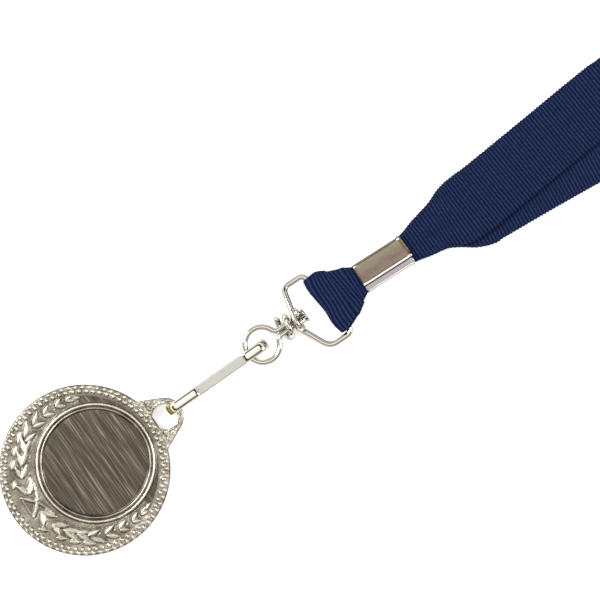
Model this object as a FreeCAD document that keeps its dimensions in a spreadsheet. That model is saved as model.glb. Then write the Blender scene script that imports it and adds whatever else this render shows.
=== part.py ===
"""A 40 mm award medal on a 15 mm neck ribbon: medal, flat link, swivel eye, wire ring, crimp and ribbon.

Millimetres, +Z up, everything lying on z = 0. The origin is the centre of the medal's flat back,
and +X runs from the medal along the chain of fittings to the ribbon.
"""
import FreeCAD, Part
import math
import os
import Sketcher
from FreeCAD import Placement, Rotation, Vector

doc = FreeCAD.newDocument("medal")
sheet = doc.addObject("Spreadsheet::Sheet", "Sizes")

SIZES = {
    # medal, seen from above with its lug along +X
    "disc_radius": 20.0, "edge_round": 0.6, "rim_height": 2.9, "bead_inner": 17.5, "field_outer": 17.2,
    "field_height": 2.4, "recess_x": 3.1, "lip_outer": 13.85, "lip_crest": 13.3, "lip_height": 3.1,
    "recess_radius": 12.55, "recess_top": 2.9, "recess_floor": 2.0,
    "lug_reach": 22.5, "lug_radius": 4.5, "lug_hole": 3.0, "lug_bottom": 1.65, "lug_thick": 1.2,
    "lug_root": 17.9, "lug_root_half": 7.2, "lug_turn": -1.35,
    # connector link: a closed loop of flat strip, standing on edge
    "link_start": 23.7, "link_end": 52.1, "link_width": 2.5, "link_height": 5.0, "strip_thick": 0.7,
    "crown_round": 0.3,
    # swivel eye
    "swivel_y": 0.2, "swivel_z": 3.15, "eye_wire": 1.4, "eye_centre": 50.9, "eye_radius": 4.0,
    "eye_seat": 0.4, "neck_radius": 1.2, "strand_offset": 0.74, "head_start": 62.85, "head_radius": 1.85,
    "head_thick": 0.45,
    # wire ring
    "ring_wire": 1.5, "coil_radius": 2.3, "coil_pitch": 1.6, "bar_z": 2.3, "corner_radius": 1.5,
    # crimp
    "crimp_x": 85.0, "crimp_y": -0.7, "crimp_z": 2.45, "crimp_length": 13.4, "crimp_width": 7.2,
    "crimp_height": 4.4, "crimp_wall": 0.5, "crimp_round": 1.1, "crimp_turn": -2.4, "crimp_roll": 5.0,
    # ribbon
    "ribbon_width": 15.0, "ribbon_thick": 0.7, "bar_clearance": 0.35, "gathered_width": 5.8,
    "gathered_thick": 1.55, "hank_start": 152.0, "hank_end": 330.0, "hank_low": -15.8,
    "hank_high": 19.3, "hank_height": 6.2, "hank_round": 2.5, "tie_x": 240.0, "tie_width": 6.0,
    "tie_thick": 0.6, "tie_height": 5.6,
}
for row, (alias, value) in enumerate(SIZES.items(), start=1):
    sheet.set(f"A{row}", alias.replace("_", " "))
    sheet.set(f"B{row}", str(value))
    sheet.setAlias(f"B{row}", alias)
doc.recompute()


def size(alias):
    """A driving dimension, read from the sheet; a leading minus gives its negative."""
    return -sheet.get(alias[1:]) if alias.startswith("-") else sheet.get(alias)


# ---- helpers for bodies with sketches ----

def new_body(label):
    body = doc.addObject("PartDesign::Body", label)
    body.Label = label
    return body


def new_sketch(body, name, role, offset=0.0):
    sketch = body.newObject("Sketcher::SketchObject", name)
    plane = next(f for f in body.Origin.OriginFeatures if f.Role == role)
    sketch.AttachmentSupport = (plane, [""])
    sketch.MapMode = "FlatFace"
    sketch.AttachmentOffset = Placement(Vector(0, 0, offset), Rotation())
    return sketch


def pin(sketch, geometry, point, x, y):
    """Ties a point to the sketch's axes by cells of the sheet; "0" keeps it on the axis."""
    for kind, text, axis in (("DistanceX", x, -2), ("DistanceY", y, -1)):
        if text == "0":
            sketch.addConstraint(Sketcher.Constraint("PointOnObject", geometry, point, axis))
            continue
        ends = (geometry, point, -1, 1) if text.startswith("-") else (-1, 1, geometry, point)
        number = sketch.addConstraint(Sketcher.Constraint(kind, *ends, abs(size(text))))
        sketch.setExpression(f"Constraints[{number}]", "Sizes." + text.lstrip("-"))


def outline(sketch, corners):
    """A closed outline of straight lines through corners given as pairs of cell names."""
    points = [Vector(*(0.0 if c == "0" else size(c) for c in corner), 0) for corner in corners]
    count = len(points)
    for i in range(count):
        sketch.addGeometry(Part.LineSegment(points[i], points[(i + 1) % count]))
    for i in range(count):
        sketch.addConstraint(Sketcher.Constraint("Coincident", i, 2, (i + 1) % count, 1))
    for i, corner in enumerate(corners):
        pin(sketch, i, 1, *corner)


def circle(sketch, radius, x="0", y="0"):
    centre = Vector(0 if x == "0" else size(x), 0 if y == "0" else size(y), 0)
    number = sketch.addGeometry(Part.Circle(centre, Vector(0, 0, 1), size(radius)))
    pin(sketch, number, 3, x, y)
    limit = sketch.addConstraint(Sketcher.Constraint("Radius", number, size(radius)))
    sketch.setExpression(f"Constraints[{limit}]", "Sizes." + radius)


def stadium(sketch, start, end, radius, radius_formula, height):
    """A slot outline: two half circles joined by straight lines, standing on the sketch's X axis."""
    middle = height / 2
    left, right = Vector(start, middle, 0), Vector(end, middle, 0)
    up = Vector(0, radius, 0)
    axis = Vector(0, 0, 1)
    first = sketch.GeometryCount
    sketch.addGeometry(Part.ArcOfCircle(Part.Circle(left, axis, radius), math.pi / 2, 3 * math.pi / 2))
    sketch.addGeometry(Part.LineSegment(left - up, right - up))
    sketch.addGeometry(Part.ArcOfCircle(Part.Circle(right, axis, radius), -math.pi / 2, math.pi / 2))
    sketch.addGeometry(Part.LineSegment(right + up, left + up))
    for i in range(4):
        here, there = first + i, first + (i + 1) % 4
        sketch.addConstraint(Sketcher.Constraint("Tangent", here, 2, there, 1))
    limit = sketch.addConstraint(Sketcher.Constraint("Radius", first, radius))
    sketch.setExpression(f"Constraints[{limit}]", radius_formula)
    for arc, formula in ((first, "Sizes.link_start + Sizes.link_height / 2"),
                         (first + 2, "Sizes.link_end - Sizes.link_height / 2")):
        across = sketch.addConstraint(Sketcher.Constraint(
            "DistanceX", -1, 1, arc, 3, start if arc == first else end))
        sketch.setExpression(f"Constraints[{across}]", formula)
    rise = sketch.addConstraint(Sketcher.Constraint("DistanceY", -1, 1, first, 3, middle))
    sketch.setExpression(f"Constraints[{rise}]", "Sizes.link_height / 2")


def pad(body, name, sketch, length, symmetric=False):
    feature = body.newObject("PartDesign::Pad", name)
    feature.Profile = sketch
    feature.setExpression("Length", "Sizes." + length)
    feature.Midplane = symmetric
    doc.recompute()
    return feature


def pocket_through(body, name, sketch):
    """Cuts the sketch through the body both ways, and proves that the volume fell."""
    before = body.Shape.Volume
    feature = body.newObject("PartDesign::Pocket", name)
    feature.Profile = sketch
    feature.Type = "ThroughAll"
    feature.Midplane = True
    doc.recompute()
    if not body.Shape.Volume < before - 0.5:
        raise RuntimeError(f"{name} cut nothing")
    return feature


def revolve(body, kind, name, sketch):
    """Turns a sketch a full round about its own upright axis, to add (Revolution) or to cut (Groove)."""
    before = body.Shape.Volume if body.Tip else 0.0
    feature = body.newObject("PartDesign::" + kind, name)
    feature.Profile = sketch
    feature.ReferenceAxis = (sketch, ["V_Axis"])
    feature.Angle = 360
    doc.recompute()
    gain = body.Shape.Volume - before
    if gain * (-1 if kind == "Groove" else 1) < 1:
        raise RuntimeError(f"{name} changed the volume by {gain:.2f}")
    return feature


def shift_to_recess(sketch):
    sketch.setExpression("AttachmentOffset.Base.x", "Sizes.recess_x")


def fillet(body, name, base, edges, radius):
    feature = body.newObject("PartDesign::Fillet", name)
    feature.Base = (base, edges)
    feature.setExpression("Radius", "Sizes." + radius)
    doc.recompute()
    return feature


def edge_names(shape, wanted):
    return [f"Edge{i}" for i, edge in enumerate(shape.Edges, start=1) if wanted(edge)]


# ---- helpers for wire and ribbon ----

def rounded_path(points, wanted):
    """Straight runs through the points, joined by tangent arcs of the wanted radii where the runs allow."""
    points = [Vector(*p) for p in points]
    edges, here = [], points[0]
    for before, corner, after, radius in zip(points, points[1:], points[2:], wanted):
        back, ahead = before - corner, after - corner
        turn = math.pi - back.getAngle(ahead)
        room = 0.49 * min(back.Length, ahead.Length)
        reach = min(radius * math.tan(turn / 2), room)
        radius = reach / math.tan(turn / 2)
        back.normalize()
        ahead.normalize()
        start, end = corner + back * reach, corner + ahead * reach
        inward = (back + ahead).normalize()
        middle = corner + inward * (radius / math.cos(turn / 2) - radius)
        edges.append(Part.LineSegment(here, start).toShape())
        edges.append(Part.Arc(start, middle, end).toShape())
        here = end
    edges.append(Part.LineSegment(here, points[-1]).toShape())
    return Part.Wire(edges)


def bent_wire(path, diameter):
    """Round wire along a path, checked by its section times its length."""
    start = path.Edges[0]
    ring = Part.Circle(start.valueAt(start.FirstParameter), start.tangentAt(start.FirstParameter), diameter / 2)
    solid = path.makePipeShell([Part.Wire([ring.toShape()])], True, False)
    expected = math.pi * diameter ** 2 / 4 * path.Length
    if abs(solid.Volume - expected) > 0.02 * expected:
        raise RuntimeError(f"bent wire has volume {solid.Volume:.2f}, expected {expected:.2f}")
    return solid


def band_section(centre, width, thick, turn=0.0, roll=0.0):
    """A rectangle across a ribbon at a point of its route; turn is about Z and roll about its length."""
    across = Rotation(Vector(0, 0, 1), turn).multVec(Vector(0, math.cos(roll), math.sin(roll)))
    rise = Rotation(Vector(0, 0, 1), turn).multVec(Vector(0, -math.sin(roll), math.cos(roll)))
    a, b = across * (width / 2), rise * (thick / 2)
    middle = Vector(*centre)
    return Part.makePolygon([middle - a - b, middle + a - b, middle + a + b, middle - a + b, middle - a - b])


def band(sections):
    return Part.makeLoft(sections, True, True)


def plain_feature(label, shape):
    feature = doc.addObject("Part::Feature", label)
    feature.Label = label
    feature.Shape = shape
    return feature


# ---- medal: one casting with its lug ----

medal = new_body("medal_disc")
profile = new_sketch(medal, "MedalSection", "XZ_Plane")
outline(profile, [
    ("0", "0"), ("disc_radius", "0"), ("disc_radius", "rim_height"), ("bead_inner", "rim_height"),
    ("field_outer", "field_height"), ("0", "field_height")])
disc = revolve(medal, "Revolution", "MedalTurned", profile)
fillet(medal, "MedalEdge", disc, edge_names(
    disc.Shape, lambda e: abs(e.BoundBox.XLength - 2 * size("disc_radius")) < 0.01), "edge_round")
# The insert's recess and the lip round it stand nearer the lug, which leaves a crescent for the wreath.
lip = new_sketch(medal, "LipSection", "XZ_Plane")
shift_to_recess(lip)
outline(lip, [
    ("recess_radius", "recess_floor"), ("lip_outer", "recess_floor"), ("lip_outer", "field_height"),
    ("lip_crest", "lip_height"), ("recess_radius", "recess_top")])
revolve(medal, "Revolution", "LipTurned", lip)
recess = new_sketch(medal, "RecessSection", "XZ_Plane")
shift_to_recess(recess)
outline(recess, [("0", "recess_floor"), ("recess_radius", "recess_floor"),
                 ("recess_radius", "lip_height"), ("0", "lip_height")])
revolve(medal, "Groove", "RecessCut", recess)
boss = new_sketch(medal, "LugBoss", "XY_Plane", size("lug_bottom"))
circle(boss, "lug_radius", "lug_reach")
pad(medal, "LugBossPad", boss, "lug_thick")
# The straight sides of the lug run from its root on the rim, tangent to the boss.
root_gap = size("lug_reach") - size("lug_root")
flank = math.hypot(root_gap, size("lug_root_half"))
lean = math.atan2(size("lug_root_half"), -root_gap) - math.acos(size("lug_radius") / flank)
tangent_x = size("lug_reach") + size("lug_radius") * math.cos(lean)
tangent_y = size("lug_radius") * math.sin(lean)
sheet.set("D1", str(tangent_x))
sheet.setAlias("D1", "lug_tangent_x")
sheet.set("D2", str(tangent_y))
sheet.setAlias("D2", "lug_tangent_y")
doc.recompute()
web = new_sketch(medal, "LugWeb", "XY_Plane", size("lug_bottom"))
outline(web, [("lug_root", "-lug_root_half"), ("lug_tangent_x", "-lug_tangent_y"),
              ("lug_tangent_x", "lug_tangent_y"), ("lug_root", "lug_root_half")])
pad(medal, "LugWebPad", web, "lug_thick")
hole = new_sketch(medal, "LugHole", "XY_Plane")
circle(hole, "lug_hole", "lug_reach")
pocket_through(medal, "LugHoleCut", hole)
medal.Placement = Placement(Vector(), Rotation(Vector(0, 0, 1), size("lug_turn")))

# ---- connector link: a flat loop of crowned strip on edge ----

link = new_body("connector_link")
half = size("link_height") / 2
loop = new_sketch(link, "LinkLoop", "XZ_Plane")
loop_ends = (size("link_start") + half, size("link_end") - half)
stadium(loop, *loop_ends, half, "Sizes.link_height / 2", size("link_height"))
stadium(loop, *loop_ends, half - size("strip_thick"),
        "Sizes.link_height / 2 - Sizes.strip_thick", size("link_height"))
strip = pad(link, "LinkStrip", loop, "link_width", symmetric=True)
outer_edges = edge_names(strip.Shape, lambda e: e.BoundBox.YLength < 0.01 and (
    e.BoundBox.ZMin < 0.01 or e.BoundBox.ZMax > size("link_height") - 0.01))
fillet(link, "LinkCrown", strip, outer_edges, "crown_round")

# ---- swivel eye: one wire, a round eye on two straight strands whose ends are peened into a head ----

HEAD_OVERLAP = 0.1  # how far the strands run into the head
eye = new_body("eye_wire")
eye_y, strand = size("swivel_y"), size("strand_offset")
eye_bend, neck_bend = size("eye_radius"), size("neck_radius")
seat = Vector(0, size("eye_seat") / 2, 0)  # half the straight run that the link bears on
neck_rise = strand + neck_bend
to_neck = neck_rise - seat.y
neck_x = size("eye_centre") + math.sqrt((eye_bend + neck_bend) ** 2 - to_neck ** 2)
neck_lean = math.atan2(to_neck, neck_x - size("eye_centre"))
spine = new_sketch(eye, "EyeSpine", "XY_Plane", size("swivel_z"))
axis, right_angle = Vector(0, 0, 1), math.pi / 2
eye_middle = Vector(size("eye_centre"), eye_y, 0)
far_side = eye_middle - Vector(eye_bend, 0, 0)
up_neck, low_neck = Vector(neck_x, eye_y + neck_rise, 0), Vector(neck_x, eye_y - neck_rise, 0)
neck_down = Vector(0, neck_bend, 0)
up_end = Vector(size("head_start") + HEAD_OVERLAP, eye_y + strand, 0)
low_end = Vector(up_end.x, eye_y - strand, 0)
for shape in (
        Part.LineSegment(up_end, up_neck - neck_down),
        Part.ArcOfCircle(Part.Circle(up_neck, axis, neck_bend), math.pi + neck_lean, 3 * right_angle),
        Part.ArcOfCircle(Part.Circle(eye_middle + seat, axis, eye_bend), neck_lean, math.pi),
        Part.LineSegment(far_side + seat, far_side - seat),
        Part.ArcOfCircle(Part.Circle(eye_middle - seat, axis, eye_bend), math.pi, 2 * math.pi - neck_lean),
        Part.ArcOfCircle(Part.Circle(low_neck, axis, neck_bend), right_angle, math.pi - neck_lean),
        Part.LineSegment(low_neck + neck_down, low_end)):
    spine.addGeometry(shape)
section = new_sketch(eye, "EyeSection", "YZ_Plane", up_end.x)
section.addGeometry(Part.Circle(Vector(up_end.y, size("swivel_z"), 0), axis, size("eye_wire") / 2))
thickness = section.addConstraint(Sketcher.Constraint("Radius", 0, size("eye_wire") / 2))
section.setExpression(f"Constraints[{thickness}]", "Sizes.eye_wire / 2")
doc.recompute()
bent = eye.newObject("PartDesign::AdditivePipe", "EyeBent")
bent.Profile = section
bent.Spine = (spine, edge_names(spine.Shape, lambda e: True))
doc.recompute()
head = new_sketch(eye, "EyeHead", "YZ_Plane", size("head_start"))
circle(head, "head_radius", "swivel_y", "swivel_z")
pad(eye, "EyeHeadPad", head, "head_thick")

# ---- wire ring: a five-sided ring whose two ends are wound round the eye's strands ----

BAR_A, BAR_B = (68.0, 8.1), (70.1, -9.4)
CORNER_A, CORNER_B = (62.4, 8.3), (63.6, -9.3)
STEP = 60  # degrees of coil between two route points


def coil_point(angle, x):
    """A corner of the six-sided route that touches the coil's circle; 0 is +Y and 90 is +Z."""
    radius = size("coil_radius") / math.cos(math.radians(STEP / 2))
    turned = math.radians(angle)
    return (x, size("swivel_y") + radius * math.cos(turned), size("swivel_z") + radius * math.sin(turned))


def touch_angle(corner):
    """Where the straight arm from a corner of the ring touches the coil's circle."""
    dy, dz = corner[1] - size("swivel_y"), size("bar_z") - size("swivel_z")
    return math.degrees(math.atan2(dz, dy) + math.acos(size("coil_radius") / math.hypot(dy, dz)))


# One turn and a bit at each end, with the x of each route point; the second end runs out to a cut end.
COIL_A_START = 60.15
COIL_B_X = (58.85, 58.95, 58.75, 58.25, 57.5, 56.75, 56.45)
CUT_END = (57.1, 3.5, 2.0)
LAST_STEP_KEPT = 0.55
angle_a, angle_b = touch_angle(CORNER_A), touch_angle(CORNER_B)
coil_a = []
for step in range(7):
    turned_by = STEP / 2 + STEP * step
    coil_a.append(coil_point(angle_a + turned_by, COIL_A_START + size("coil_pitch") * turned_by / 360))
coil_a[-1] = tuple(Vector(*coil_a[-1]) * LAST_STEP_KEPT + Vector(*coil_a[-2]) * (1 - LAST_STEP_KEPT))
coil_b = [coil_point(angle_b + STEP / 2 + STEP * step, x) for step, x in enumerate(COIL_B_X)]
low_z = size("bar_z")
ring_points = [*reversed(coil_a), (*CORNER_A, low_z), (*BAR_A, low_z), (*BAR_B, low_z), (*CORNER_B, low_z),
               *coil_b, CUT_END]
coil, bend = size("coil_radius"), size("corner_radius")
ring_radii = [coil] * (len(coil_a) - 1) + [2 * bend, bend, bend, 2 * bend] + [coil] * len(coil_b)
ring = plain_feature("ring_wire", bent_wire(rounded_path(ring_points, ring_radii), size("ring_wire")))

# ---- crimp: a flattened tube of sheet metal round the gathered ribbon ----

crimp = new_body("ribbon_crimp")
for alias, formula in (("D3", "crimp_half_width"), ("D4", "crimp_half_height"),
                       ("D5", "crimp_inner_half_width"), ("D6", "crimp_inner_half_height")):
    across = "crimp_width" if "width" in formula else "crimp_height"
    wall = size("crimp_wall") if "inner" in formula else 0
    sheet.set(alias, str(size(across) / 2 - wall))
    sheet.setAlias(alias, formula)
doc.recompute()
tube = new_sketch(crimp, "CrimpOutside", "YZ_Plane")
outline(tube, [("-crimp_half_width", "-crimp_half_height"), ("crimp_half_width", "-crimp_half_height"),
               ("crimp_half_width", "crimp_half_height"), ("-crimp_half_width", "crimp_half_height")])
sleeve = pad(crimp, "CrimpTube", tube, "crimp_length", symmetric=True)
long_edges = edge_names(sleeve.Shape, lambda e: e.BoundBox.XLength > 1)
rounded = fillet(crimp, "CrimpCorners", sleeve, long_edges, "crimp_round")
inside = new_sketch(crimp, "CrimpInside", "YZ_Plane")
outline(inside, [("-crimp_inner_half_width", "-crimp_inner_half_height"),
                 ("crimp_inner_half_width", "-crimp_inner_half_height"),
                 ("crimp_inner_half_width", "crimp_inner_half_height"),
                 ("-crimp_inner_half_width", "crimp_inner_half_height")])
pocket_through(crimp, "CrimpBore", inside)
crimp.Placement = Placement(
    Vector(size("crimp_x"), size("crimp_y"), size("crimp_z")),
    Rotation(Vector(0, 0, 1), size("crimp_turn")) * Rotation(Vector(1, 0, 0), size("crimp_roll")))

# ---- ribbon: the loop on the ring's bar, the two straps and the put-away hank ----

bar_start, bar_end = Vector(*BAR_A, low_z), Vector(*BAR_B, low_z)
bar_line = (bar_end - bar_start).normalize()
bar_turn = math.degrees(math.atan2(bar_line.x, -bar_line.y))
bore_radius = size("ring_wire") / 2 + size("bar_clearance")
fold_radius = bore_radius + size("ribbon_thick")
ROLL = math.radians(size("crimp_roll"))
gathered, gathered_thick = size("gathered_width"), size("gathered_thick")
crimp_turn = size("crimp_turn")
FOLD_FROM_CORNER, FOLD_LENGTH = 1.15, 15.25
fold = Part.makeCylinder(fold_radius, FOLD_LENGTH, bar_start + bar_line * FOLD_FROM_CORNER, bar_line)
# From the fold to the middle of the crimp: centre, width, thickness, turn and roll of each section.
WEDGE = (
    ((69.1, -0.65, low_z), FOLD_LENGTH, 2 * fold_radius, bar_turn, 0.0),
    ((73.0, -0.6, low_z), 12.6, 3.5, bar_turn, 0.0),
    ((76.0, -0.3, 2.4), 9.0, 3.2, crimp_turn, 0.0),
    ((78.0, -0.4, 2.42), gathered, 2 * gathered_thick, crimp_turn, ROLL),
    ((size("crimp_x"), size("crimp_y"), size("crimp_z")), gathered, 2 * gathered_thick, crimp_turn, ROLL))
wedge = band([band_section(*section) for section in WEDGE])
bore = Part.makeCylinder(bore_radius, 20, bar_start - bar_line, bar_line)
plain_feature("ribbon_ring_loop", fold.fuse(wedge).cut(bore).removeSplitter())

# Each strap's centre points, from the middle of the crimp, then the width and thickness at those points.
FRONT_ROUTE = [(85.0, -0.7, 3.25), (92.4, -1.0, 3.3), (99.5, -0.75, 2.5), (104.0, -0.95, 1.7),
               (109.0, -0.85, 1.35), (129.0, 0.6, 1.25), (152.0, 2.5, 1.25)]
BACK_ROUTE = [(85.0, -0.7, 1.65), (92.4, -1.0, 1.65), (99.5, -1.9, 1.3), (104.0, -3.1, 0.75),
              (109.0, -3.85, 0.4), (129.0, -5.45, 0.4), (152.0, -7.9, 0.4)]
GATHERED, FLAT = (gathered,) * 2, (size("ribbon_width"),) * 3
FRONT_WIDTHS, BACK_WIDTHS = GATHERED + (9.6, 13.2) + FLAT, GATHERED + (7.6, 9.4) + FLAT
THICKNESSES = (gathered_thick, gathered_thick, 1.1, 0.8) + (size("ribbon_thick"),) * 3
for label, route, widths in (("ribbon_front_strap", FRONT_ROUTE, FRONT_WIDTHS),
                             ("ribbon_back_strap", BACK_ROUTE, BACK_WIDTHS)):
    sections = []
    for number, (centre, width, thick) in enumerate(zip(route, widths, THICKNESSES)):
        rolled = ROLL if number < 2 else 0.0
        sections.append(band_section(centre, width, thick, crimp_turn if number < 2 else 0.0, rolled))
    plain_feature(label, band(sections))

# The put-away length is one block; the tie sits in a waist round its middle.
TIE_INSET = 0.4
hank_size = (size("hank_end") - size("hank_start"), size("hank_high") - size("hank_low"), size("hank_height"))
slab = Part.makeBox(*hank_size, Vector(size("hank_start"), size("hank_low"), 0))
slab = slab.makeFillet(size("hank_round"), [e for e in slab.Edges if e.BoundBox.YLength > 1 and
                                            e.BoundBox.XMax > size("hank_end") - 0.1])
tie_corner = Vector(size("tie_x") - size("tie_width") / 2, size("hank_low") + TIE_INSET, 0)
tie_span, tie_wall = hank_size[1] - 2 * TIE_INSET, size("tie_thick")
tie_box = Part.makeBox(size("tie_width"), tie_span, size("tie_height"), tie_corner)
tie_inside = Part.makeBox(size("tie_width"), tie_span - 2 * tie_wall, size("tie_height") - 2 * tie_wall,
                          tie_corner + Vector(0, tie_wall, tie_wall))
waist = Part.makeBox(size("tie_width"), hank_size[1], size("hank_height"), Vector(tie_corner.x, size("hank_low"), 0))
plain_feature("ribbon_hank", slab.cut(waist).fuse(tie_inside).removeSplitter())
plain_feature("hank_tie", tie_box.cut(tie_inside))

# ---- checks and export ----

doc.recompute()
for item in doc.Objects:
    if "Invalid" in item.State or "Error" in item.State:
        raise RuntimeError(f"{item.Name} failed: {item.State}")
os.makedirs("parts", exist_ok=True)
nodes = [item for item in doc.Objects if item.TypeId in ("PartDesign::Body", "Part::Feature")]
for item in nodes:
    shape = item.Shape
    if shape.isNull() or not shape.isValid() or len(shape.Solids) != 1:
        raise RuntimeError(f"{item.Label} isn't one valid solid")
    shape.exportStep(f"parts/{item.Label}.step")
    box = shape.BoundBox
    print(f"{item.Label:20s} volume {shape.Volume:9.2f}  x {box.XMin:7.2f} {box.XMax:7.2f}  "
          f"y {box.YMin:7.2f} {box.YMax:7.2f}  z {box.ZMin:6.2f} {box.ZMax:6.2f}")
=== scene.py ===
"""A 40 mm award medal on a swivel ring and a navy neck ribbon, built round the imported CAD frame.

Lengths in this file are millimetres in the CAD frame, turned into metres where a mesh is made.
"""
import math
import bpy
import numpy as np
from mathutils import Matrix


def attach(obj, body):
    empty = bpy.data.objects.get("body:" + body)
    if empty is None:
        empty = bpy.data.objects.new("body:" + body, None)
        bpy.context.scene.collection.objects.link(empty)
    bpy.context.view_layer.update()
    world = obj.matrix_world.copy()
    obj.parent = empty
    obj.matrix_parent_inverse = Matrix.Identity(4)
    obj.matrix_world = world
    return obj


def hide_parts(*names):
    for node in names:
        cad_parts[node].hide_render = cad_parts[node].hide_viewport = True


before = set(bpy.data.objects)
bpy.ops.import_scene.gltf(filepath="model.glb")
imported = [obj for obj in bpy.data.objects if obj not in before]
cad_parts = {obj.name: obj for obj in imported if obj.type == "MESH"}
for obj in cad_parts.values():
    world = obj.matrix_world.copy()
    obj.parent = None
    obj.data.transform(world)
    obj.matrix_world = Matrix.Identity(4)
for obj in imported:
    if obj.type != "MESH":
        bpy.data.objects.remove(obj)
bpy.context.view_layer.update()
MM = 0.001
TAU = 2 * math.pi

# ---- sizes shared with the CAD part ----

RECESS_X = 3.1  # the recess stands this far from the disc's centre, towards the lug
LUG_REACH, LUG_RADIUS, LUG_HOLE = 22.5, 4.5, 3.0
LUG_BOTTOM, LUG_TOP, LUG_TURN = 1.65, 2.85, math.radians(-1.35)
LINK_START, LINK_END, LINK_WIDTH, LINK_HEIGHT, STRIP_THICK = 23.7, 52.1, 2.5, 5.0, 0.7
SWIVEL_Y, SWIVEL_Z = 0.2, 3.15
EYE_WIRE, EYE_CENTRE, EYE_RADIUS, EYE_SEAT, NECK_RADIUS, STRAND = 1.4, 50.9, 4.0, 0.4, 1.2, 0.74
HEAD_START, HEAD_RADIUS, HEAD_THICK = 62.85, 1.85, 0.45
RING_WIRE, COIL_RADIUS, COIL_PITCH, BAR_Z, CORNER_RADIUS = 1.5, 2.3, 1.6, 2.3, 1.5
BAR_A, BAR_B, CORNER_A, CORNER_B = (68.0, 8.1), (70.1, -9.4), (62.4, 8.3), (63.6, -9.3)
CRIMP = np.array([85.0, -0.7, 2.45])
CRIMP_LENGTH, CRIMP_TURN, CRIMP_ROLL = 13.4, math.radians(-2.4), math.radians(-5.0)
RIBBON_WIDTH, RIBBON_THICK, RIBBON_LENGTH = 15.0, 0.6, 0.80  # the length alone is in metres

# ---- sizes of the looks ----

RIB_PITCH, WARP_PITCH = 0.833, 0.42
SCALLOP = 0.040  # how far each rib pushes out the ribbon's edge, as a share of its half width
MAP_SPAN = 100.0  # millimetres of ribbon to one unit of its UV map
LOWEST = 0.02  # nothing that is bent in place lies lower than this


# ---- mesh helpers ----

def grid_faces(rows, columns, wrap_columns=False, wrap_rows=False, start=0, flip=False):
    """Quads over a grid of points stored row by row."""
    row = np.arange(rows if wrap_rows else rows - 1)
    column = np.arange(columns if wrap_columns else columns - 1)
    r, c = (a.ravel() for a in np.meshgrid(row, column, indexing="ij"))
    r1, c1 = (r + 1) % rows, (c + 1) % columns
    quads = np.stack([r * columns + c, r * columns + c1, r1 * columns + c1, r1 * columns + c], axis=1)
    return (quads[:, ::-1] if flip else quads) + start


def make_piece(name, points, faces, materials, body, replaced=(), face_material=None, uv=None):
    """A shown piece from points in millimetres, riding on a body in place of CAD nodes."""
    mesh = bpy.data.meshes.new(name)
    mesh.from_pydata((np.asarray(points, float) * MM).tolist(), [], [list(map(int, f)) for f in faces])
    for material in materials:
        mesh.materials.append(material)
    mesh.polygons.foreach_set("use_smooth", [True] * len(mesh.polygons))
    if face_material is not None:
        mesh.polygons.foreach_set("material_index", np.asarray(face_material, int))
    if uv is not None:
        layer = mesh.uv_layers.new(name="Along")
        corner = np.zeros(len(mesh.loops), int)
        mesh.loops.foreach_get("vertex_index", corner)
        layer.data.foreach_set("uv", np.asarray(uv, float)[corner].ravel())
    mesh.update()
    piece = bpy.data.objects.new(name, mesh)
    bpy.context.collection.objects.link(piece)
    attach(piece, body)
    if replaced:
        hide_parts(*replaced)
    return piece


def unit(vectors):
    """Each vector at length 1."""
    return vectors / np.maximum(np.linalg.norm(vectors, axis=-1, keepdims=True), 1e-12)


def tangents(path, closed=False):
    """The direction of a path at each of its points."""
    if closed:
        return unit(np.roll(path, -1, axis=0) - np.roll(path, 1, axis=0))
    return unit(np.gradient(path, axis=0))


def rounded_path(points, radii, steps=9):
    """Points along straight runs joined by tangent arcs, as the CAD wires are made."""
    points = [np.array(p, float) for p in points]
    out = [points[0]]
    for before, corner, after, radius in zip(points, points[1:], points[2:], radii):
        back, ahead = before - corner, after - corner
        room = 0.49 * min(np.linalg.norm(back), np.linalg.norm(ahead))
        back, ahead = unit(back), unit(ahead)
        turn = math.pi - math.acos(np.clip(back @ ahead, -1, 1))
        reach = min(radius * math.tan(turn / 2), room)
        radius = reach / math.tan(turn / 2)
        centre = corner + unit(back + ahead) * radius / math.cos(turn / 2)
        first = unit(corner + back * reach - centre)
        side = -back
        for angle in np.linspace(0, turn, steps):
            out.append(centre + radius * (first * math.cos(angle) + side * math.sin(angle)))
    out.append(points[-1])
    return np.array(out)


def arc(centre, radius, start, end, steps):
    """Points on part of a circle in a plane."""
    angles = np.linspace(start, end, steps)
    return np.stack([centre[0] + radius * np.cos(angles), centre[1] + radius * np.sin(angles)], axis=1)


def tube(path, radius, sides=24):
    """Points and faces of round wire along a path, with softly broken cut ends."""
    direction = tangents(path)
    side = np.cross(direction[0], [0.3, 0.2, 1.0])  # any line that the wire doesn't start along
    axes = []
    for along in direction:
        side = unit(side - along * (side @ along))
        axes.append((side, np.cross(along, side)))
    chamfer, cut = 0.18 * radius, 0.82
    stations = [(path[0], cut, axes[0]), (path[0] + direction[0] * chamfer, 1.0, axes[0])]
    stations += [(centre, 1.0, pair) for centre, pair in zip(path[1:-1], axes[1:-1])]
    stations += [(path[-1] - direction[-1] * chamfer, 1.0, axes[-1]), (path[-1], cut, axes[-1])]
    angles = np.arange(sides) * TAU / sides
    points = np.concatenate([
        centre + radius * share * (np.cos(angles)[:, None] * a + np.sin(angles)[:, None] * b)
        for centre, share, (a, b) in stations])
    return points, capped(grid_faces(len(stations), sides, wrap_columns=True), len(stations), sides)


def lathe_x(profile, centre, sides=32):
    """Turns a profile of (x, radius) pairs about a line along X."""
    angles = np.arange(sides) * TAU / sides
    points = np.concatenate([
        np.stack([np.full(sides, x), centre[0] + r * np.cos(angles), centre[1] + r * np.sin(angles)], axis=1)
        for x, r in profile])
    return points, capped(grid_faces(len(profile), sides, wrap_columns=True), len(profile), sides)


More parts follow.
